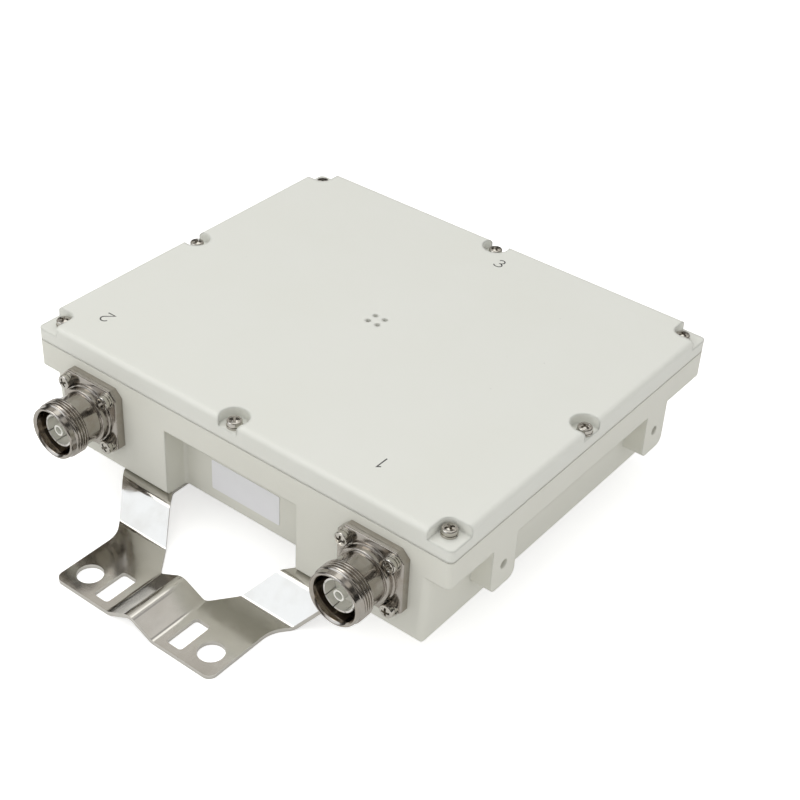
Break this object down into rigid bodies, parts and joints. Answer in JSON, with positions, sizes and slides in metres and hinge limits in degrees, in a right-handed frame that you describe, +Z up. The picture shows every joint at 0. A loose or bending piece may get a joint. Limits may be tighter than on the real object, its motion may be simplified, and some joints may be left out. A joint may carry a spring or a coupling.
{
  "type": "rf diplexer",
  "caption": "Flat die-cast cavity diplexer with a screwed lid, threaded coaxial ports at both ends, side lugs and folded steel pole brackets below.",
  "frame": {"origin": "under the middle of the box, on the plane of the bracket plates' undersides", "axes": "+X to the side of port 1, -Y out of ports 1 and 2, +Y out of port 3, +Z up through the lid"},
  "size_m": [0.176, 0.2408, 0.0561],
  "materials": {
    "box_paint": "satin powder paint",
    "lid_paint": "satin powder paint",
    "seal_rubber": "matte",
    "stainless": "satin",
    "vent_film": "matte",
    "label_film": "satin",
    "bare_aluminium": "satin",
    "tuning_brass": "satin",
    "port_plating": "plated, satin",
    "contact_silver": "plated, polished",
    "insulator_white": "matte",
    "bracket_steel": "bright cold-rolled"
  },
  "bodies": {
    "root": {"housing": "box_paint", "lid": "lid_paint", "lid_seal": "seal_rubber", "lid_screws": "stainless", "lid_washers": "stainless", "vent_membrane": "vent_film", "label": "label_film", "tuning_cover": "bare_aluminium", "cover_screws": "stainless", "post_screws": "stainless", "tuning_screws": "tuning_brass", "tuning_nuts": "tuning_brass", "coupling_screws": "tuning_brass", "coupling_nuts": "tuning_brass", "resonator_1": "bare_aluminium", "resonator_2": "bare_aluminium", "resonator_3": "bare_aluminium", "resonator_4": "bare_aluminium", "resonator_5": "bare_aluminium", "resonator_6": "bare_aluminium", "resonator_7": "bare_aluminium", "resonator_8": "bare_aluminium", "resonator_9": "bare_aluminium", "resonator_10": "bare_aluminium", "resonator_11": "bare_aluminium", "resonator_12": "bare_aluminium", "port_1_shell": "port_plating", "port_1_sleeve": "contact_silver", "port_1_insulator": "insulator_white", "port_1_contact": "contact_silver", "port_1_seal": "seal_rubber", "port_1_probe": "contact_silver", "port_2_shell": "port_plating", "port_2_sleeve": "contact_silver", "port_2_insulator": "insulator_white", "port_2_contact": "contact_silver", "port_2_seal": "seal_rubber", "port_2_probe": "contact_silver", "port_3_shell": "port_plating", "port_3_sleeve": "contact_silver", "port_3_insulator": "insulator_white", "port_3_contact": "contact_silver", "port_3_seal": "seal_rubber", "port_3_probe": "contact_silver", "flange_screws": "stainless", "flange_spring_washers": "stainless", "flange_flat_washers": "stainless", "front_bracket": "bracket_steel", "rear_bracket": "bracket_steel", "bracket_screws": "stainless", "bracket_spring_washers": "stainless", "bracket_flat_washers": "stainless"}
  },
  "joints": []
}
